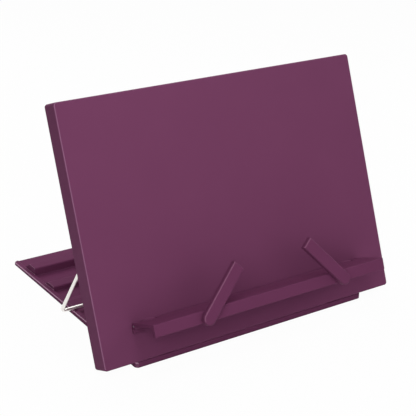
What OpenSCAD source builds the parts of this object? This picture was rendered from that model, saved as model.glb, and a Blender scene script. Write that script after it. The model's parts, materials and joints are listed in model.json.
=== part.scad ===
// Folding book stand: a moulded panel that leans on a hinged base tray, propped by a bent wire,
// with a folding ledge that carries two swinging page arms.
// The panel's own directions are x across, v up along its face and w out of its face.

/* [Panel] */
// Width of the panel
panel_w = 340; // [320:1:380]
// Height of the panel along its face
panel_h = 242; // [236:1:300]
// Depth of the panel from its face to its back rim
panel_t = 18; // [16:0.5:24]
// Thickness of the panel's face and skirt
panel_wall = 2.5; // [2:0.1:4]
// Radius of the panel's four corners
panel_corner_r = 3; // [2.8:0.1:8]
// Rounding of the panel's front edge
panel_edge_r = 1.5; // [0.5:0.1:2]
// Angle between the panel and the table
panel_lean = 66.7; // [60:0.1:72]
// Thickness of the stiffening ribs behind the face
stiffener_t = 1.6; // [1:0.1:3]
// Height of the stiffening ribs behind the face
stiffener_h = 3; // [1:0.1:4]
// Largest distance between the stiffening ribs
stiffener_pitch = 58; // [40:1:80]
// Free lane beside the stiffening ribs for the folded prop
stiffener_lane = 5; // [3:0.5:12]

/* [Base] */
// Distance from the panel's side to the base's side
base_margin = 34; // [30:0.5:50]
// Distance from the hinge axis to the base's front edge
base_front = 12.5; // [11:0.5:14]
// How far the base ends short of the panel's top when folded
base_short = 8.5; // [7:0.5:20]
// Height of the base's front rim above the table
base_h = 6; // [5.5:0.1:7]
// Height of the side rims' rear ends above the table
base_rear_h = 3.4; // [3:0.1:4.5]
// Thickness of the tray's floor
base_floor = 1.6; // [1.4:0.1:2]
// Thickness of the tray's front rim
base_wall = 3; // [2:0.1:3.5]
// Width of the tray's side rims
base_side = 5; // [3:0.1:8]
// Radius of the tray's corners
base_corner_r = 4; // [3.5:0.5:12]
// Rounding of the rim's outer edge
base_edge_r = 1.2; // [0.4:0.1:1.5]

/* [Stop ribs] */
// Number of stop ribs across the tray
rib_count = 4; // [3:1:4]
// Distance between the stop ribs
rib_pitch = 40.3; // [38:0.1:42]
// Distance from the base's rear edge to the rear rib's stop wall
rib_rear = 38.9; // [36:0.1:42]
// Height of the rear rib above the table
rib_top = 10.7; // [9.6:0.1:10.8]
// How much lower each rib is than the one behind it
rib_step = 2.85; // [2.8:0.01:3]
// Least height of a rib above the tray's floor
rib_least = 1.5; // [1:0.1:2]
// Depth of a rib's flat top
rib_flat = 12; // [8:0.5:16]
// Length of the slope behind a rib's flat top
rib_slope = 10; // [4:0.5:14]
// Rounding of a rib's crest
rib_crest_r = 1.2; // [0.4:0.1:1.5]

/* [Panel hinge] */
// Height of the hinge axis above the panel's bottom edge
hinge_v = 3.5; // [3.4:0.1:5]
// Height of the panel's back rim above the table when folded flat
fold_rise = 3; // [2:0.1:4]
// Gap between a hinge knuckle and the tray's floor
hinge_lift = 0.8; // [0.4:0.1:1.2]
// Radius of a hinge pin
hinge_pin_r = 1.5; // [1:0.1:1.8]
// Radius of a hinge knuckle
hinge_knuckle_r = 3; // [2.4:0.1:3.1]
// Distance from the base's side to the middle of a hinge
hinge_inset = 36; // [24:1:90]
// Width of the panel's lug at a hinge
lug_w = 16; // [8:0.5:24]
// Width of each of the base's ears at a hinge
ear_w = 8; // [4:0.5:10]

/* [Prop] */
// Diameter of the prop's wire
wire_d = 3.6; // [3:0.1:4.4]
// Bend radius of the wire's centre line
wire_bend_r = 6; // [4:0.5:8]
// Height of the prop's pivot along the panel
pivot_v = 116; // [112:0.5:118]
// Depth of the prop's pivot behind the panel's face
pivot_depth = 14; // [12.5:0.1:14.2]
// Length of the prop's stub in its clip
stub_len = 10; // [6:0.5:10.5]
// Free play between the prop and the rib that stops it
prop_play = 3.8; // [3:0.1:8]
// Gap between the prop and the rim under it
prop_gap = 0.3; // [0.2:0.05:0.5]

/* [Prop clips] */
// Length of a clip's flange
clip_h = 26; // [24:1:34]
// Width of a clip
clip_w = 11; // [9:0.5:12]
// Thickness of a clip's flange
clip_t = 3; // [2:0.1:3.5]
// Wall of a clip's barrel round the wire
clip_wall = 1.75; // [1:0.05:2]
// Distance from a clip to the panel's side wall
clip_side = 2.1; // [1:0.1:4]
// Distance from a clip's pivot to each of its screws
clip_screw_reach = 9.5; // [8.5:0.1:11]
// Radius of a screw's shank
screw_r = 1.25; // [1:0.05:1.5]
// Radius of a screw's head
screw_head_r = 2.6; // [2:0.1:2.8]
// Height of a screw's head
screw_head_h = 1.8; // [1:0.1:2.2]
// Height of the panel's screw bosses
boss_h = 3.6; // [3:0.1:4]
// Radius of the panel's screw bosses
boss_r = 3.2; // [2.4:0.1:3.4]

/* [Ledge] */
// Distance from the panel's side to the ledge's end
ledge_margin = 34.5; // [30:0.5:40]
// Height of the shelf's top along the panel
ledge_v = 36; // [30:0.5:60]
// Distance from the panel's face to the lip's front
ledge_out = 39.5; // [30:0.5:50]
// Thickness of the shelf
shelf_t = 3; // [2.6:0.1:4]
// Height of the front lip
lip_h = 11.5; // [10:0.5:16]
// Thickness of the front lip
lip_t = 4; // [3:0.1:6]
// Rounding of the lip's outer edges
lip_edge_r = 0.8; // [0.3:0.1:1.4]
// Radius of a ledge pin
ledge_pin_r = 1.25; // [0.8:0.05:1.4]
// Distance from the ledge's end to the middle of a bracket
bracket_inset = 17.5; // [12:0.5:30]
// Width of a ledge bracket
bracket_w = 12; // [6:0.5:16]
// Thickness of the gussets under the shelf
gusset_t = 2; // [1:0.1:3]
// Length of the heel that bears on the panel under the shelf
heel_h = 6.5; // [5:0.5:9]
// Thickness of the heel
heel_t = 2; // [1.4:0.1:3]

/* [Page arms] */
// Distance from the ledge's end to an arm's pivot
arm_inset = 55.5; // [45:0.5:65]
// Length of an arm from its pivot to its tip
arm_len = 57.5; // [40:0.5:60]
// Distance from the shelf's top down to an arm's pivot
arm_drop = 7.9; // [6:0.1:8]
// Width of an arm
arm_w = 12.2; // [11.8:0.1:13]
// Thickness of an arm
arm_t = 5.4; // [5:0.1:8]
// Bevel along an arm's front edges
arm_bevel = 0.9; // [0.3:0.1:1.5]
// Lean of the left arm towards the middle
left_lean = 45.8; // [0:0.1:80]
// Lean of the right arm towards the middle
right_lean = 41.2; // [0:0.1:80]
// Radius of an arm's pivot pin
arm_pin_r = 2.2; // [1.5:0.1:2.5]
// How far the pivot pin reaches into the arm
arm_pin_reach = 3.6; // [2:0.1:3.8]
// Outer radius of an arm's washer
washer_r = 5.6; // [4.5:0.1:5.8]
// Thickness of an arm's washer
washer_t = 0.5; // [0.3:0.1:1]

/* [Feet] */
// Radius of a foot
foot_r = 7; // [4:0.5:10]
// How far a foot stands out under the base
foot_proud = 0.6; // [0.5:0.1:1]
// Depth of a foot's recess in the base
foot_sunk = 0.8; // [0.4:0.1:0.9]
// Distance from the base's edges to a foot's centre
foot_inset = 14; // [12:0.5:30]

/* [Clearances] */
// Radial clearance of a pin in its hole
pin_gap = 0.05; // [0.02:0.01:0.1]
// Gap between faces that turn past each other
turn_gap = 0.4; // [0.3:0.05:0.6]
// Gap between an arm and its washer
arm_gap = 0.2; // [0.1:0.05:0.3]
// Gap round a piece that drops into a recess
drop_gap = 0.15; // [0.1:0.05:0.3]
// Gap between the base's sides and the opening in the panel's skirt
skirt_gap = 1.5; // [1:0.1:3]

/* [Hidden] */

$fn = 64;

// How far a cutting shape runs past the face that it opens
over = 1;
// How far a joined shape runs into the piece that it belongs to
sink = 0.4;

plastic = [0.40, 0.20, 0.33];
steel = [0.75, 0.76, 0.78];
wire_white = [0.92, 0.90, 0.87];
rubber = [0.08, 0.08, 0.08];
nylon = [0.85, 0.84, 0.80];

// Places measured from the hinge axis, y to the rear and z up from the table
base_w = panel_w - 2 * base_margin;
base_rear = panel_h - hinge_v - base_short;
base_depth = base_front + base_rear;
base_fall = atan2(base_h - base_rear_h, base_depth);
floor_z = foot_proud + base_floor;
hinge_z = floor_z + hinge_lift + hinge_knuckle_r;
hinge_x = base_w / 2 - hinge_inset;
rib_reach = base_rear - rib_rear;
wire_r = wire_d / 2;

// Places in the panel's own directions
hinge_w = hinge_z - fold_rise - panel_t;
pivot_w = -pivot_depth;
barrel_r = shelf_t;
ledge_w = panel_w - 2 * ledge_margin;
ledge_axis_v = ledge_v - barrel_r;
ledge_axis_w = barrel_r + turn_gap;
bracket_swing = norm([ledge_axis_w, barrel_r]) + turn_gap;
bracket_x = ledge_w / 2 - bracket_inset;
hub_r = arm_w / 2;
arm_v = ledge_v - arm_drop;
arm_x = ledge_w / 2 - arm_inset;
arm_back_w = ledge_out + washer_t + arm_gap;
arm_front_w = arm_back_w + arm_t;
boss_w = -panel_wall - boss_h;
clip_barrel_r = wire_r + pin_gap + clip_wall;
clip_x = panel_w / 2 - panel_wall - clip_side - clip_w / 2;
leg_x = clip_x - clip_w / 2 - turn_gap - wire_bend_r;

// The hinge lug's wall above the table and its slope up to the face
lug_low_v = hinge_v - hinge_knuckle_r;
lug_root_v = hinge_v + 2 * hinge_knuckle_r;

function panel_y(v, w) = (v - hinge_v) * cos(panel_lean) - (w - hinge_w) * sin(panel_lean);
function panel_z(v, w) = hinge_z + (v - hinge_v) * sin(panel_lean) + (w - hinge_w) * cos(panel_lean);

function rim_z(y) = base_h - (y + base_front) * tan(base_fall);
function rib_y(i) = rib_reach - i * rib_pitch;
function rib_z(i) = max(rib_top - i * rib_step, floor_z + rib_least);

// The wire prop runs from its pivot down to its rest in front of the third rib from the rear
rest_y = rib_y(2) - prop_play - wire_r;
rest_z = rim_z(rest_y) + prop_gap + wire_r;
pivot_y = panel_y(pivot_v, pivot_w);
pivot_z = panel_z(pivot_v, pivot_w);
prop_len = norm([rest_y - pivot_y, pivot_z - rest_z]);
prop_slope = atan2(pivot_z - rest_z, rest_y - pivot_y);

// The stiffening ribs fill the panel between the hinge lugs and the folded prop
grid_w = 2 * (leg_x - wire_r - stiffener_lane);
grid_low_v = lug_root_v + stiffener_lane;
grid_h = pivot_v + prop_len - wire_r - stiffener_lane - grid_low_v;
grid_columns = ceil(grid_w / stiffener_pitch);
grid_rows = ceil(grid_h / stiffener_pitch);

// The origin lies on the table under the middle of the whole stand
front_y = panel_y(arm_v - hub_r + arm_bevel, arm_front_w);
mid_y = (front_y + base_rear) / 2;

module on_base() {
  translate([0, -mid_y, 0]) children();
}

module on_panel() {
  translate([0, -mid_y, hinge_z]) rotate([panel_lean, 0, 0]) translate([0, -hinge_v, -hinge_w]) children();
}

// Extrudes a profile drawn as [second, third] along the x axis, with its middle at x
module along_x(length, x = 0) {
  translate([x - length / 2, 0, 0]) rotate([90, 0, 90]) linear_extrude(length) children();
}

module rod_x(r, length, x = 0) {
  translate([x - length / 2, 0, 0]) rotate([0, 90, 0]) cylinder(h = length, r = r);
}

module round_rect(w, h, r) {
  translate([-w / 2, r]) square([w, h - 2 * r]);
  translate([-w / 2 + r, 0]) square([w - 2 * r, h]);
  for (x = [-w / 2 + r, w / 2 - r], y = [r, h - r]) translate([x, y]) circle(r);
}

// Half of a slab's section, from its middle line to its rounded upper edge
module slab_section(reach, t, e) {
  square([reach, t - e]);
  square([reach - e, t]);
  translate([reach - e, t - e]) circle(e);
}

// A slab with round corners and a rounded upper edge, its front edge on y = 0
module soft_slab(w, h, t, r, e) {
  translate([0, h / 2, 0]) {
    for (side = [0, 1]) mirror([side, 0, 0]) rotate([90, 0, 0])
      linear_extrude(h - 2 * r, center = true) slab_section(w / 2, t, e);
    for (side = [0, 1]) mirror([0, side, 0]) rotate([90, 0, 90])
      linear_extrude(w - 2 * r, center = true) slab_section(h / 2, t, e);
    for (x = [-1, 1], y = [-1, 1]) translate([x * (w / 2 - r), y * (h / 2 - r), 0])
      rotate_extrude() slab_section(r, t, e);
  }
}

module hinge_lug_profile() {
  translate([hinge_v, hinge_w]) circle(hinge_knuckle_r);
  polygon([
    [lug_low_v, hinge_w],
    [lug_low_v, -panel_wall + sink],
    [lug_root_v, -panel_wall + sink],
    [hinge_v + hinge_knuckle_r, hinge_w]
  ]);
}

module bracket_profile() {
  translate([ledge_axis_v, ledge_axis_w]) circle(barrel_r);
  translate([ledge_axis_v - barrel_r, -sink]) square([2 * barrel_r, ledge_axis_w + sink]);
}

module stiffeners() {
  for (i = [0 : grid_rows]) translate([-grid_w / 2, grid_low_v + i * (grid_h - stiffener_t) / grid_rows, 0])
    cube([grid_w, stiffener_t, stiffener_h + sink]);
  for (i = [0 : grid_columns])
    translate([-grid_w / 2 + i * (grid_w - stiffener_t) / grid_columns, grid_low_v, 0])
      cube([stiffener_t, grid_h, stiffener_h + sink]);
}

module panel_shell() {
  opening_w = base_w + 2 * skirt_gap;
  difference() {
    translate([0, 0, -panel_t]) soft_slab(panel_w, panel_h, panel_t, panel_corner_r, panel_edge_r);
    translate([0, panel_wall, -panel_t - over]) linear_extrude(panel_t - panel_wall + over)
      round_rect(panel_w - 2 * panel_wall, panel_h - 2 * panel_wall, panel_corner_r - panel_wall / 2);
    translate([-opening_w / 2, -over, -panel_t - over])
      cube([opening_w, panel_wall + 2 * over, panel_t - panel_wall + over]);
  }
}

module front_panel() color(plastic) on_panel() difference() {
  union() {
    panel_shell();
    translate([0, 0, -panel_wall - stiffener_h]) stiffeners();
    for (side = [-1, 1]) {
      along_x(lug_w, side * hinge_x) hinge_lug_profile();
      along_x(bracket_w, side * bracket_x) bracket_profile();
      for (step = [-1, 1]) translate([side * clip_x, pivot_v + step * clip_screw_reach, boss_w])
        cylinder(h = boss_h + sink, r = boss_r);
    }
  }
  for (side = [-1, 1]) {
    translate([0, hinge_v, hinge_w]) rod_x(hinge_pin_r + pin_gap, lug_w + 2 * over, side * hinge_x);
    translate([0, ledge_axis_v, ledge_axis_w])
      rod_x(ledge_pin_r + pin_gap, bracket_w + 2 * over, side * bracket_x);
    for (step = [-1, 1]) translate([side * clip_x, pivot_v + step * clip_screw_reach, boss_w - over])
      cylinder(h = boss_h + over, r = screw_r + pin_gap);
  }
}

// One rib's section: an upright stop wall, a rounded crest, a flat top and a slope to the floor
module rib_profile(i) {
  foot_z = floor_z - sink;
  translate([rib_y(i), 0]) {
    polygon([
      [0, foot_z],
      [0, rib_z(i) - rib_crest_r],
      [rib_crest_r, rib_z(i)],
      [rib_flat, rib_z(i)],
      [rib_flat + rib_slope, floor_z],
      [rib_flat + rib_slope, foot_z]
    ]);
    translate([rib_crest_r, rib_z(i) - rib_crest_r]) circle(rib_crest_r);
  }
}

module ear_profile() {
  translate([0, hinge_z]) circle(hinge_knuckle_r);
  translate([-hinge_knuckle_r, floor_z - sink]) square([2 * hinge_knuckle_r, hinge_z - floor_z + sink]);
}

// A tray with a front rim and side rims that fall towards its open rear
module tray() {
  difference() {
    translate([0, -base_front, base_h]) rotate([-base_fall, 0, 0]) translate([0, 0, -base_h])
      soft_slab(base_w, base_depth / cos(base_fall), base_h, base_corner_r, base_edge_r);
    translate([-base_w, -2 * base_front, foot_proud - base_h]) cube([2 * base_w, 2 * base_depth, base_h]);
    translate([0, base_wall - base_front, floor_z]) linear_extrude(base_h)
      round_rect(base_w - 2 * base_side, base_depth, base_corner_r - base_wall / 2);
  }
}

module foot_places() {
  for (x = [-1, 1], y = [foot_inset - base_front, base_rear - foot_inset])
    translate([x * (base_w / 2 - foot_inset), y, 0]) children();
}

module base_plate() color(plastic) on_base() difference() {
  union() {
    tray();
    for (i = [0 : rib_count - 1]) along_x(base_w - 2 * (base_side - sink)) rib_profile(i);
    for (side = [-1, 1], step = [-1, 1])
      along_x(ear_w, side * hinge_x + step * (lug_w / 2 + turn_gap + ear_w / 2)) ear_profile();
  }
  for (side = [-1, 1]) translate([0, 0, hinge_z])
    rod_x(hinge_pin_r + pin_gap, lug_w + 2 * (turn_gap + ear_w + over), side * hinge_x);
  foot_places() translate([0, 0, -over]) cylinder(h = foot_proud + foot_sunk + over, r = foot_r + drop_gap);
}

module foot(x, y) color(rubber) on_base() translate([
  x * (base_w / 2 - foot_inset),
  y > 0 ? base_rear - foot_inset : foot_inset - base_front,
  0
]) cylinder(h = foot_proud + foot_sunk, r = foot_r);

module front_left_foot() foot(-1, -1);
module front_right_foot() foot(1, -1);
module rear_left_foot() foot(-1, 1);
module rear_right_foot() foot(1, 1);

module hinge_pin(side) color(steel) on_base() translate([0, 0, hinge_z])
  rod_x(hinge_pin_r, lug_w + 2 * (turn_gap + ear_w), side * hinge_x);

module left_hinge_pin() hinge_pin(-1);
module right_hinge_pin() hinge_pin(1);

// A quarter bend of wire about the origin, from the +x side round to the +y side
module wire_bend() {
  rotate_extrude(angle = 90) translate([wire_bend_r, 0]) circle(wire_r);
}

// The right half of the bail, drawn flat: pivot line on y = 0 and cross bar on y = prop_len
module wire_half() {
  bend = wire_bend_r;
  rod_x(wire_r, stub_len, leg_x + bend + stub_len / 2);
  translate([leg_x + bend, bend, 0]) rotate([0, 0, 180]) wire_bend();
  translate([leg_x, bend, 0]) rotate([-90, 0, 0]) cylinder(h = prop_len - 2 * bend, r = wire_r);
  translate([leg_x - bend, prop_len - bend, 0]) wire_bend();
}

module wire_prop() color(wire_white) on_base() translate([0, pivot_y, pivot_z]) rotate([-prop_slope, 0, 0]) {
  for (side = [0, 1]) mirror([side, 0, 0]) wire_half();
  translate([0, prop_len, 0]) rod_x(wire_r, 2 * (leg_x - wire_bend_r));
}

// A clip stands on two bosses and holds the wire's stub in a barrel
module prop_clip(side) color(plastic) on_panel() difference() {
  union() {
    translate([side * clip_x - clip_w / 2, pivot_v - clip_h / 2, boss_w - clip_t])
      cube([clip_w, clip_h, clip_t]);
    translate([0, pivot_v, pivot_w]) rod_x(clip_barrel_r, clip_w, side * clip_x);
    translate([side * clip_x - clip_w / 2, pivot_v - clip_barrel_r, pivot_w])
      cube([clip_w, 2 * clip_barrel_r, boss_w - clip_t - pivot_w + sink]);
  }
  translate([0, pivot_v, pivot_w]) rod_x(wire_r + pin_gap, clip_w + 2 * over, side * clip_x);
  for (step = [-1, 1]) translate([side * clip_x, pivot_v + step * clip_screw_reach, boss_w - clip_t - over])
    cylinder(h = clip_t + 2 * over, r = screw_r + pin_gap);
}

module left_prop_clip() prop_clip(-1);
module right_prop_clip() prop_clip(1);

module clip_screw(side, step) color(steel) on_panel()
  translate([side * clip_x, pivot_v + step * clip_screw_reach, boss_w - clip_t]) {
    translate([0, 0, -screw_head_h]) cylinder(h = screw_head_h, r = screw_head_r);
    cylinder(h = clip_t + boss_h - sink, r = screw_r);
  }

module upper_left_clip_screw() clip_screw(-1, 1);
module lower_left_clip_screw() clip_screw(-1, -1);
module upper_right_clip_screw() clip_screw(1, 1);
module lower_right_clip_screw() clip_screw(1, -1);

// The ledge's section: hinge barrel with its heel, shelf and hanging lip, with rounded lip edges
module ledge_profile() {
  translate([ledge_axis_v, ledge_axis_w]) circle(barrel_r);
  translate([ledge_axis_v - heel_h, turn_gap]) square([heel_h, heel_t]);
  translate([ledge_v - shelf_t, ledge_axis_w]) square([shelf_t, ledge_out - lip_t / 2 - ledge_axis_w]);
  translate([ledge_v - lip_h, ledge_out - lip_t]) square([lip_h, lip_t - lip_edge_r]);
  translate([ledge_v - lip_h + lip_edge_r, ledge_out - lip_t]) square([lip_h - 2 * lip_edge_r, lip_t]);
  for (v = [ledge_v - lip_h + lip_edge_r, ledge_v - lip_edge_r])
    translate([v, ledge_out - lip_edge_r]) circle(lip_edge_r);
}

module gusset_profile() {
  drop = lip_h - shelf_t - 2 * lip_edge_r;
  polygon([
    [ledge_v - shelf_t + sink, ledge_axis_w + bracket_swing],
    [ledge_v - shelf_t + sink, ledge_out - lip_t + sink],
    [ledge_v - shelf_t - drop, ledge_out - lip_t + sink]
  ]);
}

module book_ledge() color(plastic) on_panel() difference() {
  notch = bracket_w + 2 * turn_gap;
  pin_length = bracket_inset + notch;
  union() {
    along_x(ledge_w) ledge_profile();
    for (x = [-arm_x / 2, 0, arm_x / 2]) along_x(gusset_t, x) gusset_profile();
  }
  for (side = [-1, 1]) {
    translate([side * bracket_x - notch / 2, ledge_axis_v - heel_h - over, 0])
      cube([notch, heel_h + over + bracket_swing, ledge_axis_w + bracket_swing]);
    translate([0, ledge_axis_v, ledge_axis_w])
      rod_x(ledge_pin_r + pin_gap, pin_length + over, side * (ledge_w - pin_length + over) / 2);
    translate([side * arm_x, arm_v, ledge_out - lip_t - over])
      cylinder(h = lip_t + 2 * over, r = arm_pin_r + pin_gap);
  }
}

module ledge_pin(side) {
  length = bracket_inset + bracket_w;
  color(steel) on_panel() translate([0, ledge_axis_v, ledge_axis_w])
    rod_x(ledge_pin_r, length, side * (ledge_w - length) / 2);
}

module left_ledge_pin() ledge_pin(-1);
module right_ledge_pin() ledge_pin(1);

// An arm drawn upright on its pivot, its back on z = 0: a round hub and a bar with bevelled edges
module arm_bar() {
  cylinder(h = arm_t - arm_bevel, r = hub_r);
  translate([0, 0, arm_t - arm_bevel]) cylinder(h = arm_bevel, r1 = hub_r, r2 = hub_r - arm_bevel);
  difference() {
    rotate([90, 0, 180]) linear_extrude(arm_len) polygon([
      [-arm_w / 2, 0],
      [arm_w / 2, 0],
      [arm_w / 2, arm_t - arm_bevel],
      [arm_w / 2 - arm_bevel, arm_t],
      [arm_bevel - arm_w / 2, arm_t],
      [-arm_w / 2, arm_t - arm_bevel]
    ]);
    translate([0, arm_len, arm_t - arm_bevel]) rotate([45, 0, 0])
      translate([-arm_w, 0, 0]) cube([2 * arm_w, arm_t, arm_t]);
  }
}

// An upright arm with the blind hole for its pin
module page_arm() difference() {
  arm_bar();
  translate([0, 0, -over]) cylinder(h = arm_pin_reach + arm_gap + over, r = arm_pin_r + pin_gap);
}

module left_page_arm() color(plastic) on_panel()
  translate([-arm_x, arm_v, arm_back_w]) rotate([0, 0, -left_lean]) page_arm();

module right_page_arm() color(plastic) on_panel()
  translate([arm_x, arm_v, arm_back_w]) rotate([0, 0, right_lean]) page_arm();

module arm_pin(side) color(steel) on_panel() translate([side * arm_x, arm_v, ledge_out - lip_t])
  cylinder(h = arm_back_w + arm_pin_reach - ledge_out + lip_t, r = arm_pin_r);

module left_arm_pin() arm_pin(-1);
module right_arm_pin() arm_pin(1);

module arm_washer(side) color(nylon) on_panel() translate([side * arm_x, arm_v, ledge_out]) difference() {
  cylinder(h = washer_t, r = washer_r);
  translate([0, 0, -over]) cylinder(h = washer_t + 2 * over, r = arm_pin_r + pin_gap);
}

module left_arm_washer() arm_washer(-1);
module right_arm_washer() arm_washer(1);

front_panel();
base_plate();
wire_prop();
book_ledge();
left_page_arm();
right_page_arm();
left_hinge_pin();
right_hinge_pin();
left_prop_clip();
right_prop_clip();
upper_left_clip_screw();
lower_left_clip_screw();
upper_right_clip_screw();
lower_right_clip_screw();
left_ledge_pin();
right_ledge_pin();
left_arm_pin();
right_arm_pin();
left_arm_washer();
right_arm_washer();
front_left_foot();
front_right_foot();
rear_left_foot();
rear_right_foot();
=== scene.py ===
"""Looks of a folding book stand: finishes, small fittings, studio light and camera.

All lengths are in metres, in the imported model's own frame: +X to the reader's right, +Y away
from the reader and +Z up from the table.
"""

import json
import logging
import math
from dataclasses import dataclass, field
from enum import Enum
from typing import Callable

import bpy
from mathutils import Matrix, Vector


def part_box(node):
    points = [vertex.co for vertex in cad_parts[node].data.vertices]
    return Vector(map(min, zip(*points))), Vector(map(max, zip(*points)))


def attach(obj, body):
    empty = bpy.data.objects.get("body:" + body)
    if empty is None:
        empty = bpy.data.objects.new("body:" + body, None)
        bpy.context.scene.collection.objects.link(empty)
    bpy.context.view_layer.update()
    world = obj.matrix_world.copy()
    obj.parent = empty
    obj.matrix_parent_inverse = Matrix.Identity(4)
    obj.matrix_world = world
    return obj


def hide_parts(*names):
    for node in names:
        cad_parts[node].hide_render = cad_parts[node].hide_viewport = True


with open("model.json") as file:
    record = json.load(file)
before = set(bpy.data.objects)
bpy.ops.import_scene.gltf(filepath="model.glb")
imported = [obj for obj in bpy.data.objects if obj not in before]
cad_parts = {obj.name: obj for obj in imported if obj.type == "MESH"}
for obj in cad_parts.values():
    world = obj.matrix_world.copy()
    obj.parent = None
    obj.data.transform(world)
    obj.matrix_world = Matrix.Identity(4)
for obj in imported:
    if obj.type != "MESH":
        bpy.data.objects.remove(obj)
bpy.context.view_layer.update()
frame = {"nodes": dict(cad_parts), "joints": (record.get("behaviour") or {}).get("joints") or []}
LOG = logging.getLogger("book_stand")

Colour = tuple[float, float, float, float]
Triple = tuple[float, float, float]
Span = tuple[float, float]
Socket = bpy.types.NodeSocket

MM = 0.001
HAIR = 0.01 * MM
WHITE: Colour = (1.0, 1.0, 1.0, 1.0)
# A face lies flat across an axis when its normal follows the axis at least this closely
FLAT = 0.9
# Edges of a new piece that turn by more than this stay sharp
SHARP_DEGREES = 30.0


def srgb(red: int, green: int, blue: int) -> Colour:
    """Turns an eight-bit display colour into a linear colour.

    Args:
        red: Red, 0 to 255.
        green: Green, 0 to 255.
        blue: Blue, 0 to 255.

    Returns:
        The linear colour with an alpha of 1.
    """
    def linear(value: int) -> float:
        """Undoes the display curve for one channel."""
        part = value / 255.0
        return part / 12.92 if part <= 0.04045 else ((part + 0.055) / 1.055) ** 2.4

    return linear(red), linear(green), linear(blue), 1.0


class Body(Enum):
    """The moving bodies that new pieces ride on."""

    BASE = "base"
    PANEL = "panel"


class Slot(Enum):
    """The record's material slots that new pieces take."""

    PLASTIC = "purple_plastic"
    SCREW = "screw_steel"
    RUBBER = "foot_rubber"


class Graph:
    """A node tree that nodes are added to, with their inputs set or linked."""

    def __init__(self, tree: bpy.types.NodeTree) -> None:
        """Takes the tree to work on.

        Args:
            tree: A material's, a group's or a world's node tree.
        """
        self.tree = tree

    def feed(self, node: bpy.types.Node, inputs: dict) -> None:
        """Sets or links inputs of a node.

        Args:
            node: The node.
            inputs: Values or sockets by input name or number.
        """
        for key, value in inputs.items():
            if isinstance(value, Socket):
                self.tree.links.new(value, node.inputs[key])
            else:
                node.inputs[key].default_value = value

    def add(self, kind: str, inputs: dict | None = None, **settings: object) -> bpy.types.Node:
        """Adds one node.

        Args:
            kind: The node's type name.
            inputs: Values or sockets by input name or number.
            **settings: Attributes of the node itself.

        Returns:
            The new node.
        """
        node = self.tree.nodes.new(kind)
        for name, value in settings.items():
            setattr(node, name, value)
        self.feed(node, inputs or {})
        return node

    def math(self, operation: str, first: object, second: object = 0.0, clamp: bool = False) -> Socket:
        """Adds a Math node.

        Args:
            operation: The node's operation.
            first: Its first value or socket.
            second: Its second value or socket.
            clamp: Whether the result is held between 0 and 1.

        Returns:
            The result's socket.
        """
        node = self.add("ShaderNodeMath", {0: first, 1: second}, operation=operation, use_clamp=clamp)
        return node.outputs[0]

    def dot(self, first: object, second: object) -> Socket:
        """Adds a dot product of two vectors.

        Args:
            first: The first vector or socket.
            second: The second vector or socket.

        Returns:
            The product's socket.
        """
        node = self.add("ShaderNodeVectorMath", {0: first, 1: second}, operation="DOT_PRODUCT")
        return node.outputs["Value"]

    def mix(self, factor: object, first: object, second: object) -> Socket:
        """Adds a colour mix.

        Args:
            factor: The share of the second colour.
            first: The first colour or socket.
            second: The second colour or socket.

        Returns:
            The mixed colour's socket.
        """
        node = self.add("ShaderNodeMix", {0: factor, 6: first, 7: second}, data_type="RGBA")
        return node.outputs[2]

    def spread(self, value: Socket, low: float, high: float) -> Socket:
        """Maps a value from 0..1 to a range.

        Args:
            value: The socket to map.
            low: The result at 0.
            high: The result at 1.

        Returns:
            The mapped value's socket.
        """
        node = self.add("ShaderNodeMapRange", {"Value": value, "To Min": low, "To Max": high})
        return node.outputs["Result"]

    def band(self, value: Socket, low: object, high: object) -> Socket:
        """Turns a value smoothly into 0 below one limit and 1 above another.

        Args:
            value: The socket to sort.
            low: The limit, or its socket, where the result starts to rise.
            high: The limit, or its socket, where the result reaches 1.

        Returns:
            The result's socket.
        """
        node = self.add("ShaderNodeMapRange", {"Value": value, "From Min": low, "From Max": high},
                        interpolation_type="SMOOTHSTEP")
        return node.outputs["Result"]

    def object_place(self, scale: Triple = (1.0, 1.0, 1.0)) -> Socket:
        """Adds object coordinates with a stretch.

        Args:
            scale: The stretch along each axis.

        Returns:
            The coordinates' socket.
        """
        place = self.add("ShaderNodeTexCoord").outputs["Object"]
        return self.add("ShaderNodeMapping", {"Vector": place, "Scale": scale}).outputs["Vector"]

    def noise(self, vector: Socket, scale: object, detail: float, roughness: float) -> Socket:
        """Adds a noise texture.

        Args:
            vector: The coordinates' socket.
            scale: The noise's scale, per metre, or a socket.
            detail: How many finer layers it has.
            roughness: How strong the finer layers are.

        Returns:
            The noise value's socket.
        """
        node = self.add("ShaderNodeTexNoise", {"Vector": vector, "Scale": scale, "Detail": detail,
                                               "Roughness": roughness})
        return node.outputs["Fac"]


def cleared(owner: bpy.types.Material | bpy.types.World) -> Graph:
    """Empties the node tree of a material or a world.

    Args:
        owner: The material or world.

    Returns:
        The graph of its empty tree.
    """
    owner.use_nodes = True
    owner.node_tree.nodes.clear()
    return Graph(owner.node_tree)


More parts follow.
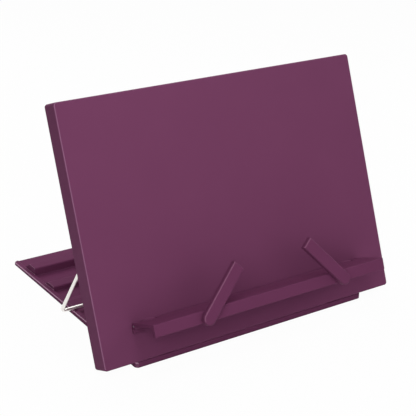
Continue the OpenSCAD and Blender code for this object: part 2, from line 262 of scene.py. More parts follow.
class EffectGroups:
    """The shader node groups that several finishes share, each built once."""

    # Painted highlight: the side the lamps light, how closely and how steeply an edge must face it to be
    # made paler, and the faint share left elsewhere.
    painted_highlight_side: Triple = (-0.75, -0.45, 0.48)
    pale_match: Span = (0.6, 0.9)
    pale_rise: Span = (0.02, 0.2)
    faint_share: float = 0.12
    mark_stretch: Triple = (1.0, 2.4, 1.3)
    mark_scale: float = 34.0
    mark_gain: float = 1.6
    patch_scale: float = 5.5
    bevel_samples: int = 6
    edge_break_scale: float = 160.0
    edge_break: Span = (0.45, 1.25)
    rounding_end: Span = (0.9, 0.995)
    rounding_break_scale: float = 120.0
    rounding_break: Span = (0.55, 1.15)
    line_stretch: Triple = (0.02, 1.0, 1.0)
    tone_stretch: Triple = (0.4, 1.0, 1.0)
    tone_scale: float = 90.0

    def __init__(self) -> None:
        """Builds the groups."""
        number, vector = "NodeSocketFloat", "NodeSocketVector"
        self.grain = self._make("moulded_grain", {"Grain Scale": 1800.0, "Mottle Scale": 14.0},
                                {"Height": number, "Mottle": number, "Handling": number}, self._grain)
        self.edges = self._make("edge_sheen", {"Radius": 0.8 * MM, "Gain": 3.0},
                                {"Mask": number, "Normal": vector}, self._edges)
        self.rounding = self._make("rounded_edge_sheen",
                                   {"Facing X": 0.0, "Facing Y": 0.0, "Facing Z": 1.0, "Reach": 1.0,
                                    "Start": 0.45, "Full": 0.75},
                                   {"Mask": number}, self._rounding)
        self.lines = self._make("drawn_lines", {"Line Scale": 900.0},
                                {"Height": number, "Tone": number}, self._lines)

    @staticmethod
    def _make(name: str, inputs: dict[str, float], outputs: dict[str, str],
              fill: Callable[[Graph, bpy.types.Node, bpy.types.Node], None]) -> bpy.types.NodeTree:
        """Makes one group with its sockets.

        Args:
            name: The group's name.
            inputs: Default values by input name.
            outputs: Socket types by output name.
            fill: The method that adds the group's nodes.

        Returns:
            The finished group.
        """
        tree = bpy.data.node_groups.new(name, "ShaderNodeTree")
        for label, value in inputs.items():
            socket = tree.interface.new_socket(label, in_out="INPUT", socket_type="NodeSocketFloat")
            socket.default_value = value
        for label, kind in outputs.items():
            tree.interface.new_socket(label, in_out="OUTPUT", socket_type=kind)
        graph = Graph(tree)
        fill(graph, graph.add("NodeGroupInput"), graph.add("NodeGroupOutput"))
        return tree

    @classmethod
    def _highlight_side_share(cls, graph: Graph, normal: Socket) -> Socket:
        """Tells how far a surface faces the lit side, where edges get a painted highlight.

        Args:
            graph: The group's tree.
            normal: The surface's normal, in the piece's own frame.

        Returns:
            The socket that is 1 on that side and faint on the others.
        """
        match = graph.band(graph.dot(normal, cls.painted_highlight_side), *cls.pale_match)
        rise = graph.add("ShaderNodeSeparateXYZ", {"Vector": normal}).outputs["Z"]
        shown = graph.math("MULTIPLY", match, graph.band(rise, *cls.pale_rise))
        return graph.spread(shown, cls.faint_share, 1.0)

    @staticmethod
    def _broken(graph: Graph, scale: float, span: Span) -> Socket:
        """Adds the noise that breaks up a painted edge highlight.

        Args:
            graph: The group's tree.
            scale: The noise's scale, per metre.
            span: The edge's least and greatest strength.

        Returns:
            The strength's socket.
        """
        return graph.spread(graph.noise(graph.object_place(), scale, 4.0, 0.6), *span)

    @classmethod
    def _grain(cls, graph: Graph, entry: bpy.types.Node, exit_: bpy.types.Node) -> None:
        """Fills the group of a spark-eroded moulding: fine grain, slow mottle and handling marks.

        Args:
            graph: The group's tree.
            entry: Its input node.
            exit_: Its output node.
        """
        place = graph.object_place()
        fine = graph.noise(place, entry.outputs["Grain Scale"], 2.0, 0.6)
        slow = graph.noise(place, entry.outputs["Mottle Scale"], 3.0, 0.55)
        marks = graph.noise(graph.object_place(cls.mark_stretch), cls.mark_scale, 5.0, 0.62)
        patches = graph.noise(place, cls.patch_scale, 2.0, 0.5)
        handling = graph.math("MULTIPLY", graph.math("MULTIPLY", marks, cls.mark_gain), patches, True)
        graph.feed(exit_, {"Height": fine, "Mottle": slow, "Handling": handling})

    @classmethod
    def _edges(cls, graph: Graph, entry: bpy.types.Node, exit_: bpy.types.Node) -> None:
        """Fills the group of a softened edge: a rounded normal, and a broken mask along the edge for a
        painted highlight.

        Args:
            graph: The group's tree.
            entry: Its input node.
            exit_: Its output node.
        """
        bevel = graph.add("ShaderNodeBevel", {"Radius": entry.outputs["Radius"]}, samples=cls.bevel_samples)
        rounded = bevel.outputs["Normal"]
        true_normal = graph.add("ShaderNodeNewGeometry").outputs["True Normal"]
        turned = graph.math("SUBTRACT", 1.0, graph.dot(rounded, true_normal), True)
        broken = cls._broken(graph, cls.edge_break_scale, cls.edge_break)
        mask = graph.math("MULTIPLY", graph.math("MULTIPLY", turned, entry.outputs["Gain"]), broken, True)
        own = graph.add("ShaderNodeVectorTransform", {"Vector": rounded}, vector_type="NORMAL",
                        convert_from="WORLD", convert_to="OBJECT")
        upper = graph.math("MULTIPLY", mask, cls._highlight_side_share(graph, own.outputs["Vector"]))
        graph.feed(exit_, {"Mask": upper, "Normal": rounded})

    @classmethod
    def _rounding(cls, graph: Graph, entry: bpy.types.Node, exit_: bpy.types.Node) -> None:
        """Fills the group of a moulded rounding: a broken mask, for a painted highlight, where the surface
        turns off one direction.

        Args:
            graph: The group's tree.
            entry: Its input node, with the direction in the piece's own frame, how far along it the
                mask goes, and how closely the surface faces it where the mask starts and is full.
            exit_: Its output node.
        """
        given = entry.outputs
        facing = graph.add("ShaderNodeCombineXYZ", {axis: given[f"Facing {axis}"] for axis in "XYZ"})
        direction = facing.outputs["Vector"]
        surface = graph.add("ShaderNodeTexCoord").outputs
        within = graph.math("LESS_THAN", graph.dot(surface["Object"], direction), given["Reach"])
        turned = graph.math("ABSOLUTE", graph.dot(surface["Normal"], direction))
        reached = graph.band(turned, given["Start"], given["Full"])
        leaving = graph.math("SUBTRACT", 1.0, graph.band(turned, *cls.rounding_end))
        both = graph.math("MULTIPLY", graph.math("MULTIPLY", reached, leaving), within)
        upper = graph.math("MULTIPLY", both, cls._highlight_side_share(graph, surface["Normal"]))
        broken = cls._broken(graph, cls.rounding_break_scale, cls.rounding_break)
        graph.feed(exit_, {"Mask": graph.math("MULTIPLY", upper, broken, True)})

    @classmethod
    def _lines(cls, graph: Graph, entry: bpy.types.Node, exit_: bpy.types.Node) -> None:
        """Fills the group of drawn metal: lines that run along X, and a slow change of tone.

        Args:
            graph: The group's tree.
            entry: Its input node.
            exit_: Its output node.
        """
        drawn = graph.noise(graph.object_place(cls.line_stretch), entry.outputs["Line Scale"], 3.0, 0.6)
        tone = graph.noise(graph.object_place(cls.tone_stretch), cls.tone_scale, 3.0, 0.5)
        graph.feed(exit_, {"Height": drawn, "Tone": tone})


class Finish:
    """A surface finish that makes its own material."""

    name: str

    def _open(self) -> tuple[Graph, bpy.types.Node, bpy.types.Material]:
        """Makes an empty material with its shader.

        Returns:
            The material's graph, its Principled shader and the material.
        """
        material = bpy.data.materials.new(self.name)
        graph = cleared(material)
        shader = graph.add("ShaderNodeBsdfPrincipled")
        graph.add("ShaderNodeOutputMaterial", {"Surface": shader.outputs["BSDF"]})
        return graph, shader, material


@dataclass(frozen=True)
class MouldedPlastic(Finish):
    """Satin moulded plastic with a fine eroded grain, softened edges and a painted highlight along them."""

    name: str
    deep: Colour
    fair: Colour
    edge: Colour
    rough_low: float = 0.44
    rough_high: float = 0.58
    facing: Triple = (0.0, 0.0, 0.0)
    reach: float = 1.0
    turn_start: float = 0.45
    turn_full: float = 0.75
    edge_radius: float = 0.9 * MM
    grain_depth: float = 0.12 * MM
    grain_strength: float = 0.6
    mottle: Span = (0.1, 0.9)
    specular: float = 0.02

    def make(self, groups: EffectGroups) -> bpy.types.Material:
        """Builds the material.

        Args:
            groups: The shared node groups.

        Returns:
            The finished material.
        """
        graph, shader, material = self._open()
        limits = {"Reach": self.reach, "Start": self.turn_start, "Full": self.turn_full}
        limits.update({f"Facing {axis}": part for axis, part in zip("XYZ", self.facing)})
        grain = graph.add("ShaderNodeGroup", node_tree=groups.grain)
        edges = graph.add("ShaderNodeGroup", {"Radius": self.edge_radius}, node_tree=groups.edges)
        rounding = graph.add("ShaderNodeGroup", limits, node_tree=groups.rounding)
        # Painted highlight: the edge colour is mixed in along edges and roundings, strongest where they
        # face the lit side.
        painted_edge_highlight = graph.math("MAXIMUM", edges.outputs["Mask"], rounding.outputs["Mask"])
        body = graph.mix(graph.spread(grain.outputs["Mottle"], *self.mottle), self.deep, self.fair)
        rough = graph.spread(grain.outputs["Handling"], self.rough_low, self.rough_high)
        bump = graph.add("ShaderNodeBump", {"Height": grain.outputs["Height"],
                                            "Strength": self.grain_strength,
                                            "Distance": self.grain_depth,
                                            "Normal": edges.outputs["Normal"]})
        graph.feed(shader, {"Specular IOR Level": self.specular,
                            "Base Color": graph.mix(painted_edge_highlight, body, self.edge),
                            "Roughness": rough,
                            "Normal": bump.outputs["Normal"]})
        return material


@dataclass(frozen=True)
class CoatedWire(Finish):
    """Steel wire with a smooth off-white coating that pools a little."""

    name: str
    pale: Colour
    warm: Colour
    rough_low: float = 0.28
    rough_high: float = 0.42
    pearl: float = 0.7
    coat_rough: float = 0.14
    coat_ior: float = 1.7
    grain_scale: float = 420.0
    grain_depth: float = 0.05 * MM
    grain_strength: float = 0.25
    pool_scale: float = 60.0

    def make(self, groups: EffectGroups) -> bpy.types.Material:
        """Builds the material.

        Args:
            groups: The shared node groups.

        Returns:
            The finished material.
        """
        graph, shader, material = self._open()
        grain = graph.add("ShaderNodeGroup", {"Grain Scale": self.grain_scale,
                                              "Mottle Scale": self.pool_scale}, node_tree=groups.grain)
        rough = graph.spread(grain.outputs["Handling"], self.rough_low, self.rough_high)
        bump = graph.add("ShaderNodeBump", {"Height": grain.outputs["Height"],
                                            "Strength": self.grain_strength,
                                            "Distance": self.grain_depth})
        graph.feed(shader, {"Metallic": self.pearl,
                            "Coat Weight": 1.0,
                            "Coat Roughness": self.coat_rough,
                            "Coat IOR": self.coat_ior,
                            "Base Color": graph.mix(grain.outputs["Mottle"], self.pale, self.warm),
                            "Roughness": rough,
                            "Normal": bump.outputs["Normal"]})
        return material


@dataclass(frozen=True)
class BareSteel(Finish):
    """Drawn or plated steel with fine lines and softened edges, with a painted highlight along them."""

    name: str
    light: Colour
    dark: Colour
    rough_low: float
    rough_high: float
    line_scale: float
    line_depth: float = 0.02 * MM
    line_strength: float = 0.3
    edge_radius: float = 0.25 * MM

    def make(self, groups: EffectGroups) -> bpy.types.Material:
        """Builds the material.

        Args:
            groups: The shared node groups.

        Returns:
            The finished material.
        """
        graph, shader, material = self._open()
        lines = graph.add("ShaderNodeGroup", {"Line Scale": self.line_scale}, node_tree=groups.lines)
        edges = graph.add("ShaderNodeGroup", {"Radius": self.edge_radius}, node_tree=groups.edges)
        tone = graph.mix(lines.outputs["Tone"], self.dark, self.light)
        rough = graph.spread(lines.outputs["Tone"], self.rough_low, self.rough_high)
        bump = graph.add("ShaderNodeBump", {"Height": lines.outputs["Height"],
                                            "Strength": self.line_strength,
                                            "Distance": self.line_depth,
                                            "Normal": edges.outputs["Normal"]})
        # Painted highlight: the light tone is mixed in along edges that face the lit side.
        graph.feed(shader, {"Metallic": 1.0,
                            "Base Color": graph.mix(edges.outputs["Mask"], tone, self.light),
                            "Roughness": rough,
                            "Normal": bump.outputs["Normal"]})
        return material


@dataclass
class PanelFrame:
    """The leaning panel's own directions: x across, v up along its face and w out of its face."""

    hinge_v: float = 3.5 * MM
    hinge_w: float = -15.0 * MM
    face_spare: float = 0.1 * MM
    hinge: Vector = field(init=False)
    up: Vector = field(init=False)
    out: Vector = field(init=False)

    def __post_init__(self) -> None:
        """Reads the hinge's place and the face's direction from the joints."""
        joints = {joint["name"]: joint for joint in frame["joints"]}
        self.hinge = Vector(joints["panel_fold"]["pos_m"])
        self.out = Vector(joints["left_arm_swing"]["axis"]).normalized()
        self.up = Vector((0.0, self.out.z, -self.out.y))

    def place(self, x: float, v: float, w: float) -> Vector:
        """Gives a point of the panel.

        Args:
            x: Distance to the right of the middle.
            v: Height along the face.
            w: Distance out of the face.

        Returns:
            The point in the model's frame.
        """
        foot = self.hinge + Vector((x, 0.0, 0.0))
        return foot + self.up * (v - self.hinge_v) + self.out * (w - self.hinge_w)

    def face_reach(self) -> float:
        """Gives how far the face's plane lies along its own direction, with a little to spare."""
        return self.place(0.0, 0.0, self.face_spare).dot(self.out)

    def facing_back(self, x: float, v: float, w: float) -> Matrix:
        """Gives the placing of a fitting that points out of the panel's back.

        Args:
            x: Distance to the right of the middle.
            v: Height along the face.
            w: Distance out of the face.

        Returns:
            The matrix from the fitting's own frame, with +Z out of the back.
        """
        turn = Matrix(((1.0, 0.0, 0.0), -self.up, -self.out)).transposed().to_4x4()
        return Matrix.Translation(self.place(x, v, w)) @ turn


class Bench:
    """Hand moves for modelling one piece with edit-mode operators."""

    @staticmethod
    def begin() -> None:
        """Leaves every object deselected."""
        if bpy.context.object and bpy.context.object.mode != "OBJECT":
            bpy.ops.object.mode_set(mode="OBJECT")
        bpy.ops.object.select_all(action="DESELECT")

    @staticmethod
    def hold(piece: bpy.types.Object) -> None:
        """Makes a piece the active object and the only selected one.

        Args:
            piece: The piece to work on.
        """
        Bench.begin()
        bpy.context.view_layer.objects.active = piece
        piece.select_set(True)

    @staticmethod
    def cylinder(name: str, sides: int, radius: float, height: float) -> bpy.types.Object:
        """Adds an upright cylinder that stands on z = 0, as the start of a piece.

        Args:
            name: The piece's name.
            sides: How many sides it has.
            radius: Its radius.
            height: Its height.

        Returns:
            The new piece.
        """
        Bench.begin()
        bpy.ops.mesh.primitive_cylinder_add(vertices=sides, radius=radius, depth=height,
                                            location=(0.0, 0.0, height / 2))
        piece = bpy.context.object
        piece.name = name
        bpy.ops.object.transform_apply(location=True, rotation=True, scale=True)
        return piece

    @staticmethod
    def _deselect_mesh(kind: str) -> None:
        """Deselects the active piece's mesh and goes back to object mode.

        Args:
            kind: FACE or EDGE, which the next selection is made of.
        """
        bpy.ops.object.mode_set(mode="EDIT")
        bpy.ops.mesh.select_mode(type=kind)
        bpy.ops.mesh.select_all(action="DESELECT")
        bpy.ops.object.mode_set(mode="OBJECT")

    @staticmethod
    def pick_faces(piece: bpy.types.Object, test: Callable[[bpy.types.MeshPolygon], bool]) -> None:
        """Selects faces by a test and leaves the piece in edit mode.

        Args:
            piece: The active piece.
            test: Tells which faces are selected.
        """
        Bench._deselect_mesh("FACE")
        for face in piece.data.polygons:
            face.select = test(face)
        bpy.ops.object.mode_set(mode="EDIT")

    @staticmethod
    def pick_edges(piece: bpy.types.Object, test: Callable[[Vector, Vector], bool]) -> None:
        """Selects edges by a test on their ends and leaves the piece in edit mode.

        Args:
            piece: The active piece.
            test: Tells which edges are selected, from the places of their two ends.
        """
        Bench._deselect_mesh("EDGE")
        points = piece.data.vertices
        for edge in piece.data.edges:
            edge.select = test(points[edge.vertices[0]].co, points[edge.vertices[1]].co)
        bpy.ops.object.mode_set(mode="EDIT")

    @staticmethod
    def cut(piece: bpy.types.Object, cutter: bpy.types.Object) -> None:
        """Cuts one shape out of a piece and deletes the cutter.

        Args:
            piece: The piece to cut.
            cutter: The shape that is taken away.
        """
        Bench.hold(piece)
        boolean = piece.modifiers.new("cut", "BOOLEAN")
        boolean.operation = "DIFFERENCE"
        boolean.solver = "EXACT"
        boolean.object = cutter
        bpy.ops.object.modifier_apply(modifier=boolean.name)
        bpy.data.objects.remove(cutter, do_unlink=True)

    @staticmethod
    def repeat(model: Callable[[str], bpy.types.Object], names: list[str]) -> list[bpy.types.Object]:
        """Models a piece once and copies it, each copy with its own mesh.

        Args:
            model: Models the piece under a name, not yet placed.
            names: The names of all the pieces.

        Returns:
            The pieces in the order of their names.
        """
        first = model(names[0])
        pieces = [first]
        for name in names[1:]:
            twin = first.copy()
            twin.data = first.data.copy()
            twin.name = name
            bpy.context.scene.collection.objects.link(twin)
            pieces.append(twin)
        return pieces

    @staticmethod
    def settle(piece: bpy.types.Object, placing: Matrix) -> None:
        """Puts a finished piece in its place, with the place in its mesh, and smooths its shading.

        Args:
            piece: The piece.
            placing: The matrix from its own frame to the model's.
        """
        Bench.hold(piece)
        piece.matrix_world = placing
        bpy.ops.object.transform_apply(location=True, rotation=True, scale=True)
        bpy.ops.object.shade_smooth_by_angle(angle=math.radians(SHARP_DEGREES))
        piece.select_set(False)


@dataclass
class ClipScrew:
    """A pan-head screw with a cross recess."""

    sides: int = 40
    head_r: float = 2.6 * MM
    head_h: float = 1.8 * MM
    head_round: float = 0.8 * MM
    shank_r: float = 1.25 * MM
    shank_len: float = 5.4 * MM
    tip_len: float = 0.8 * MM
    tip_share: float = 0.6
    recess_long: float = 3.0 * MM
    recess_wide: float = 0.65 * MM
    recess_deep: float = 1.0 * MM
    recess_long_share: float = 0.45
    recess_wide_share: float = 0.7

    def model(self, name: str) -> bpy.types.Object:
        """Models the screw upright, its head's seat on z = 0.

        Args:
            name: The piece's name.

        Returns:
            The new piece, not yet placed.
        """
        screw = Bench.cylinder(name, self.sides, self.head_r, self.head_h)
        Bench.pick_faces(screw, lambda face: face.normal.z < -FLAT)
        bpy.ops.mesh.inset(thickness=self.head_r - self.shank_r)
        for length in (self.shank_len, self.tip_len):
            bpy.ops.mesh.extrude_region_move(TRANSFORM_OT_translate={"value": (0.0, 0.0, -length)})
        bpy.ops.transform.resize(value=(self.tip_share, self.tip_share, 1.0))
        Bench.pick_edges(screw, lambda a, b: min(a.z, b.z) > self.head_h - HAIR)
        bpy.ops.mesh.bevel(offset=self.head_round, segments=5, profile=0.5)
        bpy.ops.object.mode_set(mode="OBJECT")
        for turn in (0.0, math.pi / 2):
            Bench.cut(screw, self._recess_blade(turn))
        return screw

    def _recess_blade(self, turn: float) -> bpy.types.Object:
        """Models one blade of the cross recess, narrower at its bottom.

        Args:
            turn: The blade's turn about the screw's axis.

        Returns:
            The cutting shape.
        """
        Bench.begin()
        bpy.ops.mesh.primitive_cube_add(size=1.0, location=(0.0, 0.0, self.head_h),
                                        rotation=(0.0, 0.0, turn),
                                        scale=(self.recess_long, self.recess_wide, 2 * self.recess_deep))
        blade = bpy.context.object
        Bench.pick_faces(blade, lambda face: face.normal.z < -FLAT)
        along, across = self.recess_long_share, self.recess_wide_share
        bpy.ops.transform.resize(value=(along, across, 1.0) if turn == 0.0 else (across, along, 1.0))
        bpy.ops.object.mode_set(mode="OBJECT")
        return blade


@dataclass
class RubberFoot:
    """A round rubber foot with a softened rim and a ring groove in its tread."""

    sides: int = 64
    radius: float = 7.0 * MM
    height: float = 1.4 * MM
    rim_round: float = 0.3 * MM
    groove_inset: float = 1.8 * MM
    groove_wide: float = 0.8 * MM
    groove_deep: float = 0.35 * MM
    groove_flank: float = 0.12 * MM

    def model(self, name: str) -> bpy.types.Object:
        """Models the foot upright, its tread on z = 0.

        Args:
            name: The piece's name.

        Returns:
            The new piece, not yet placed.
        """
        foot = Bench.cylinder(name, self.sides, self.radius, self.height)
        Bench.pick_faces(foot, lambda face: face.normal.z < -FLAT)
        for inset, rise in ((self.groove_inset, self.groove_deep), (self.groove_wide, -self.groove_deep)):
            bpy.ops.mesh.inset(thickness=inset)
            bpy.ops.mesh.inset(thickness=self.groove_flank)
            bpy.ops.transform.translate(value=(0.0, 0.0, rise))
        rim = self.radius - HAIR
        Bench.pick_edges(foot, lambda a, b: max(a.z, b.z) < HAIR and min(a.xy.length, b.xy.length) > rim)
        bpy.ops.mesh.bevel(offset=self.rim_round, segments=3, profile=0.5)
        bpy.ops.object.mode_set(mode="OBJECT")
        return foot


@dataclass
class MouldMark:
    """A shallow round mark that an ejector pin leaves on a moulding's hidden side."""

    sides: int = 28
    radius: float = 2.4 * MM
    height: float = 0.2 * MM
    ring_wide: float = 0.3 * MM
    dish_deep: float = 0.14 * MM

    def model(self, name: str) -> bpy.types.Object:
        """Models the mark upright, its seat on z = 0.

        Args:
            name: The piece's name.

        Returns:
            The new piece, not yet placed.
        """
        mark = Bench.cylinder(name, self.sides, self.radius, self.height)
        Bench.pick_faces(mark, lambda face: face.normal.z > FLAT)
        bpy.ops.mesh.inset(thickness=self.ring_wide)
        bpy.ops.transform.translate(value=(0.0, 0.0, -self.dish_deep))
        bpy.ops.object.mode_set(mode="OBJECT")
        return mark


class Palette:
    """Every finish of the stand, made once."""

    def __init__(self, panel: PanelFrame) -> None:
        """Makes the materials.

        Args:
            panel: The leaning panel's directions, which its edges are rounded about.
        """
        groups = EffectGroups()
        out = tuple(panel.out)
        # One plum plastic: the panel's body colour is a little paler to stand for the light it gets, and
        # every edge colour is a painted highlight, strongest on the base and the arms.
        self.panel_plum = MouldedPlastic("panel_plum_plastic", srgb(109, 58, 90), srgb(115, 63, 95),
                                         srgb(150, 104, 134), facing=out,
                                         reach=panel.face_reach()).make(groups)
        self.ledge_plum = MouldedPlastic("ledge_plum_plastic", srgb(102, 52, 83), srgb(108, 56, 88),
                                         srgb(122, 73, 104), facing=out).make(groups)
        self.arm_plum = MouldedPlastic("arm_plum_plastic", srgb(102, 52, 83), srgb(108, 56, 88),
                                       srgb(138, 88, 117), facing=out).make(groups)
        self.base_plum = MouldedPlastic("base_plum_plastic", srgb(104, 53, 85), srgb(110, 57, 90),
                                        srgb(205, 160, 188), facing=(1.0, 0.0, 0.0), turn_start=0.1,
                                        turn_full=0.35, edge_radius=1.2 * MM).make(groups)
        self.wire = CoatedWire("coated_wire", srgb(252, 249, 245), srgb(248, 242, 235)).make(groups)
        self.pin = BareSteel("drawn_steel", srgb(205, 207, 210), srgb(170, 173, 178), rough_low=0.25,
                             rough_high=0.4, line_scale=900.0).make(groups)
        self.screw = BareSteel("plated_steel", srgb(198, 198, 196), srgb(165, 166, 170), rough_low=0.3,
                               rough_high=0.48, line_scale=600.0).make(groups)
        self.nylon = MouldedPlastic("natural_nylon", srgb(214, 210, 198), srgb(226, 222, 212),
                                    srgb(236, 233, 226), rough_low=0.35, rough_high=0.5,
                                    edge_radius=0.2 * MM).make(groups)
        self.rubber = MouldedPlastic("foot_rubber", srgb(24, 24, 24), srgb(34, 33, 33), srgb(52, 51, 50),
                                     rough_low=0.7, rough_high=0.9, edge_radius=0.3 * MM,
                                     grain_depth=0.08 * MM).make(groups)


def coat(mesh: bpy.types.Mesh, material: bpy.types.Material) -> None:
    """Gives a mesh its only material.

    Args:
        mesh: The mesh.
        material: The finish.
    """
    mesh.materials.clear()
    mesh.materials.append(material)


def dress(node: str, material: bpy.types.Material) -> None:
    """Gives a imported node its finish.

    Args:
        node: The node's name.
        material: The finish.
    """
    coat(frame["nodes"][node].data, material)
    LOG.info("dressed %s with %s", node, material.name)


def mount_piece(piece: bpy.types.Object, body: Body, material: bpy.types.Material,
                node: str | None = None) -> None:
    """Gives a new piece its finish and lets it ride on its body.

    Args:
        piece: The new piece, in its place.
        body: The body that carries it.
        material: Its finish.
        node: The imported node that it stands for, if any.
    """
    coat(piece.data, material)
    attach(piece, body.value)
    if node:
        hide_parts(node)
    LOG.info("modelled %s on %s", piece.name, body.value)


@dataclass
class PanelAssembly:
    """The front panel with its prop clips, their screws, the ledge's pins and mould marks behind."""

    panel: PanelFrame
    pivot_v: float = 116.0 * MM
    screw_reach: float = 9.5 * MM
    screw_x: float = 159.9 * MM
    screw_seat_w: float = -9.1 * MM
    screw_turn: float = 0.4
    inner_w: float = -2.5 * MM
    grid_low_v: float = 14.5 * MM
    cell_v: float = 53.6 * MM
    cell_x: float = 56.5 * MM
    rows: int = 4
    columns_each_side: int = 2

    def build(self, palette: Palette) -> None:
        """Models the screws and mould marks and dresses the nodes.

        Args:
            palette: The stand's finishes.
        """
        for node in ("front_panel", "left_prop_clip", "right_prop_clip"):
            dress(node, palette.panel_plum)
        for node in ("left_ledge_pin", "right_ledge_pin"):
            dress(node, palette.pin)
        self._screws(palette)
        self._marks(palette)

    def _screws(self, palette: Palette) -> None:
        """Models the clip screws, each in its node's place and turned as it was driven in.

        Args:
            palette: The stand's finishes.
        """
        spots = [(f"{height}_{hand}_clip_screw", side, step)
                 for height, step in (("upper", 1), ("lower", -1))
                 for hand, side in (("left", -1), ("right", 1))]
        screws = Bench.repeat(ClipScrew().model, [f"{node}_head" for node, _, _ in spots])
        for screw, (node, side, step) in zip(screws, spots):
            placing = self.panel.facing_back(side * self.screw_x, self.pivot_v + step * self.screw_reach,
                                             self.screw_seat_w)
            Bench.settle(screw, placing @ Matrix.Rotation(self.screw_turn * (side + 2 * step), 4, "Z"))
            mount_piece(screw, Body.PANEL, palette.screw, node)

    def _marks(self, palette: Palette) -> None:
        """Models the mould marks in every second cell of the stiffening grid.

        Args:
            palette: The stand's finishes.
        """
        aside = self.columns_each_side
        cells = [(column, row) for column in range(-aside, aside + 1) for row in range(self.rows)
                 if (column + row) % 2 == 0]
        names = [f"panel_mark_{column + aside}_{row}" for column, row in cells]
        for mark, (column, row) in zip(Bench.repeat(MouldMark().model, names), cells):
            height = self.grid_low_v + (row + 0.5) * self.cell_v
            Bench.settle(mark, self.panel.facing_back(column * self.cell_x, height, self.inner_w))
            mount_piece(mark, Body.PANEL, palette.panel_plum)


@dataclass
class BaseAssembly:
    """The base tray with its hinge pins and rubber feet."""

    feet: tuple[str, ...] = ("front_left_foot", "front_right_foot", "rear_left_foot", "rear_right_foot")

    def build(self, palette: Palette) -> None:
        """Models the feet and dresses the nodes.

        Args:
            palette: The stand's finishes.
        """
        dress("base_plate", palette.base_plum)
        for node in ("left_hinge_pin", "right_hinge_pin"):
            dress(node, palette.pin)
        treads = Bench.repeat(RubberFoot().model, [f"{node}_tread" for node in self.feet])
        for tread, node in zip(treads, self.feet):
            low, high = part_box(node)
            Bench.settle(tread, Matrix.Translation(((low.x + high.x) / 2, (low.y + high.y) / 2, low.z)))
            mount_piece(tread, Body.BASE, palette.rubber, node)


@dataclass
class PropAssembly:
    """The bent wire prop."""

    wire: str = "wire_prop"

    def build(self, palette: Palette) -> None:
        """Dresses the wire.

        Args:
            palette: The stand's finishes.
        """
        dress(self.wire, palette.wire)


@dataclass
class LedgeAssembly:
    """The book ledge with its page arms, their pins and washers."""

    ledge: str = "book_ledge"
    arms: tuple[str, ...] = ("left_page_arm", "right_page_arm")
    pins: tuple[str, ...] = ("left_arm_pin", "right_arm_pin")
    washers: tuple[str, ...] = ("left_arm_washer", "right_arm_washer")

    def build(self, palette: Palette) -> None:
        """Dresses the ledge, the arms and what they turn on.

        Args:
            palette: The stand's finishes.
        """
        dress(self.ledge, palette.ledge_plum)
        for node in self.arms:
            dress(node, palette.arm_plum)
        for node in self.pins:
            dress(node, palette.pin)
        for node in self.washers:
            dress(node, palette.nylon)


@dataclass(frozen=True)
class SoftLamp:
    """One soft square lamp of the studio."""

    name: str
    place: Triple
    target: Triple
    size: float
    power: float

    def hang(self) -> None:
        """Hangs the lamp in its place, turned to its target."""
        data = bpy.data.lights.new(self.name, "AREA")
        data.shape = "SQUARE"
        data.size = self.size
        data.energy = self.power
        lamp = bpy.data.objects.new(self.name, data)
        bpy.context.scene.collection.objects.link(lamp)
        lamp.location = self.place
        lamp.rotation_euler = (lamp.location - Vector(self.target)).to_track_quat("Z", "Y").to_euler()


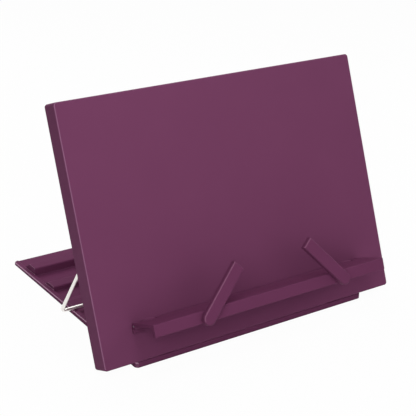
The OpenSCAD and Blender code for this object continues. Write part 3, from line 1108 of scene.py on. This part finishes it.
@dataclass
class Studio:
    """A pale floor, soft lamps above and the camera."""

    panel: PanelFrame
    floor_size: float = 60.0
    floor_grey: Colour = (0.82, 0.82, 0.82, 1.0)
    floor_white: float = 0.97
    sky_strength: float = 0.05
    lamps: tuple[SoftLamp, ...] = (
        SoftLamp("front", (0.2, -1.4, 0.6), (0.0, 0.0, 0.1), 1.2, 4.6),
        SoftLamp("front_left", (-0.9, -0.9, 0.8), (0.0, 0.0, 0.1), 0.8, 7.6),
        SoftLamp("right", (1.1, -0.1, 0.7), (0.0, 0.0, 0.1), 0.8, 7.5),
        SoftLamp("rear", (0.0, 0.8, 0.9), (0.0, 0.1, 0.0), 0.8, 6.4),
        SoftLamp("top", (-0.15, -0.25, 0.8), (-0.1, -0.06, 0.15), 0.3, 1.5),
    )
    camera_from_hinge: Triple = (-0.645794, -0.795745, 0.570623)
    camera_turn: float = -36.544
    camera_rise: float = 23.89
    camera_roll: float = 3.22
    focal_pixels: float = 1200.0
    frame_pixels: float = 416.0
    sensor_width: float = 36.0
    view_near: float = 0.01
    view_far: float = 200.0

    def build(self) -> None:
        """Builds the floor, the sky, the lamps and the camera."""
        self._floor()
        self._sky()
        for lamp in self.lamps:
            lamp.hang()
        self._camera()

    @staticmethod
    def _white_rays(graph: Graph) -> Socket:
        """Tells the rays that see the ground as white: the camera's, mirrored and refracted ones.

        Args:
            graph: The floor's or the sky's tree.

        Returns:
            The socket that is 1 for those rays and 0 for the rest.
        """
        path = graph.add("ShaderNodeLightPath").outputs
        seen = graph.math("MAXIMUM", path["Is Camera Ray"], path["Is Glossy Ray"])
        return graph.math("MAXIMUM", seen, path["Is Transmission Ray"])

    def _floor(self) -> None:
        """Lays the pale floor, which keeps a faint shadow."""
        Bench.begin()
        bpy.ops.mesh.primitive_plane_add(size=self.floor_size, location=(0.0, 0.0, 0.0))
        floor = bpy.context.object
        floor.name = "floor"
        material = bpy.data.materials.new("pale_floor")
        graph = cleared(material)
        matt = graph.add("ShaderNodeBsdfDiffuse", {"Color": self.floor_grey})
        white = graph.add("ShaderNodeEmission", {"Color": WHITE, "Strength": 1.0})
        share = graph.math("MULTIPLY", self._white_rays(graph), self.floor_white)
        both = graph.add("ShaderNodeMixShader", {0: share, 1: matt.outputs[0], 2: white.outputs[0]})
        graph.add("ShaderNodeOutputMaterial", {"Surface": both.outputs[0]})
        coat(floor.data, material)

    def _sky(self) -> None:
        """Lights the scene evenly from all round, over a white ground."""
        world = bpy.data.worlds.new("studio")
        bpy.context.scene.world = world
        graph = cleared(world)
        light = graph.add("ShaderNodeBackground", {"Color": WHITE, "Strength": self.sky_strength})
        white = graph.add("ShaderNodeBackground", {"Color": WHITE, "Strength": 1.0})
        both = graph.add("ShaderNodeMixShader", {0: self._white_rays(graph), 1: light.outputs[0],
                                                 2: white.outputs[0]})
        graph.add("ShaderNodeOutputWorld", {"Surface": both.outputs[0]})

    def _camera(self) -> None:
        """Sets the camera at the photograph's view."""
        turn = math.radians(self.camera_turn)
        rise = math.radians(self.camera_rise)
        roll = math.radians(self.camera_roll)
        back = Vector((math.sin(turn) * math.cos(rise), -math.cos(turn) * math.cos(rise), math.sin(rise)))
        right = Vector((0.0, 0.0, 1.0)).cross(back).normalized()
        up = back.cross(right)
        tilted_right = right * math.cos(roll) + up * math.sin(roll)
        tilted_up = up * math.cos(roll) - right * math.sin(roll)
        data = bpy.data.cameras.new("camera")
        data.sensor_fit = "HORIZONTAL"
        data.sensor_width = self.sensor_width
        data.lens = self.focal_pixels / self.frame_pixels * self.sensor_width
        data.clip_start = self.view_near
        data.clip_end = self.view_far
        camera = bpy.data.objects.new("camera", data)
        bpy.context.scene.collection.objects.link(camera)
        turned = Matrix((tilted_right, tilted_up, back)).transposed().to_4x4()
        camera.matrix_world = Matrix.Translation(self.panel.hinge + Vector(self.camera_from_hinge)) @ turned
        bpy.context.scene.camera = camera


def main() -> None:
    """Dresses the stand, models its small fittings and sets the studio."""
    logging.basicConfig(level=logging.INFO, format="%(name)s: %(message)s")
    bpy.context.scene.view_settings.view_transform = "Standard"
    panel = PanelFrame()
    palette = Palette(panel)
    PanelAssembly(panel).build(palette)
    BaseAssembly().build(palette)
    PropAssembly().build(palette)
    LedgeAssembly().build(palette)
    Studio(panel).build()


if __name__ == "__main__":
    main()
